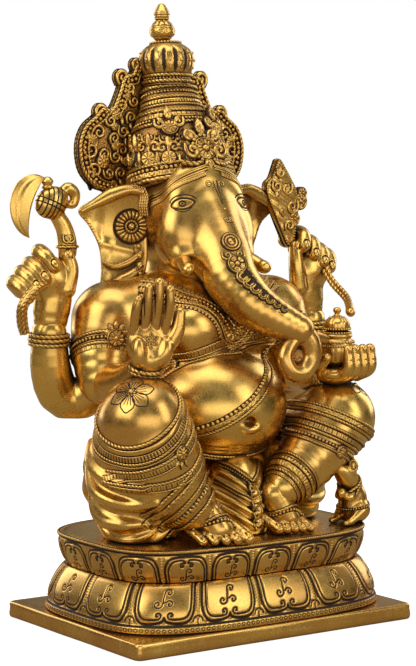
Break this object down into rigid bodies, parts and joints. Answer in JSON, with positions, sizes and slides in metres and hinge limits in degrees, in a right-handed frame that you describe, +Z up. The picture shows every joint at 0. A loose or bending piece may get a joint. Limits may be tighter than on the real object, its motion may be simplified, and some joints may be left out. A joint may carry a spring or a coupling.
{
  "type": "ganesha idol",
  "caption": "Cast brass seated elephant-headed deity with four arms on a two-tier lotus pedestal and rectangular plinth, with a small mouse beside it.",
  "frame": {"origin": "centre of the plinth's underside, on the surface that the idol stands on", "axes": "+Z up to the crown's tip, -Y the way the figure faces, -X towards its right hand"},
  "size_m": [0.3347, 0.2081, 0.5299],
  "materials": {
    "polished_brass": "polished golden brass with dark patina left in the chasing",
    "antiqued_brass": "chased brass, dark brown antiquing in the recesses",
    "zinc_plated_steel": "zinc-plated fasteners under the pedestal"
  },
  "bodies": {
    "root": {"axe_tassel": "polished_brass", "battle_axe": "polished_brass", "blessing_hand": "polished_brass", "bowl_hand": "polished_brass", "bowl_lid": "polished_brass", "crown_band": "antiqued_brass", "crown_cap": "antiqued_brass", "crown_finial": "polished_brass", "figure_stud_left": "zinc_plated_steel", "figure_stud_right": "zinc_plated_steel", "front_sash": "antiqued_brass", "halo_plate": "antiqued_brass", "head": "polished_brass", "left_ear": "polished_brass", "left_foot": "polished_brass", "left_front_forearm": "polished_brass", "left_leg": "polished_brass", "left_rear_forearm": "polished_brass", "left_rear_hand": "polished_brass", "left_tusk": "polished_brass", "left_upper_arm": "polished_brass", "lotus_lower_tier": "antiqued_brass", "lotus_upper_tier": "antiqued_brass", "mouse": "polished_brass", "mouse_screw": "zinc_plated_steel", "noose": "polished_brass", "noose_tail": "polished_brass", "plinth_plate": "polished_brass", "right_ear": "polished_brass", "right_foot": "polished_brass", "right_front_forearm": "polished_brass", "right_leg": "polished_brass", "right_rear_forearm": "polished_brass", "right_rear_hand": "polished_brass", "right_tusk": "polished_brass", "right_upper_arm": "polished_brass", "stud_nut_left": "zinc_plated_steel", "stud_nut_right": "zinc_plated_steel", "stud_washer_left": "zinc_plated_steel", "stud_washer_right": "zinc_plated_steel", "sweets_bowl": "polished_brass", "tie_screw_1": "zinc_plated_steel", "tie_screw_2": "zinc_plated_steel", "tie_screw_3": "zinc_plated_steel", "tie_screw_4": "zinc_plated_steel", "torso": "polished_brass", "trunk": "polished_brass", "trunk_curl": "polished_brass"}
  },
  "joints": []
}
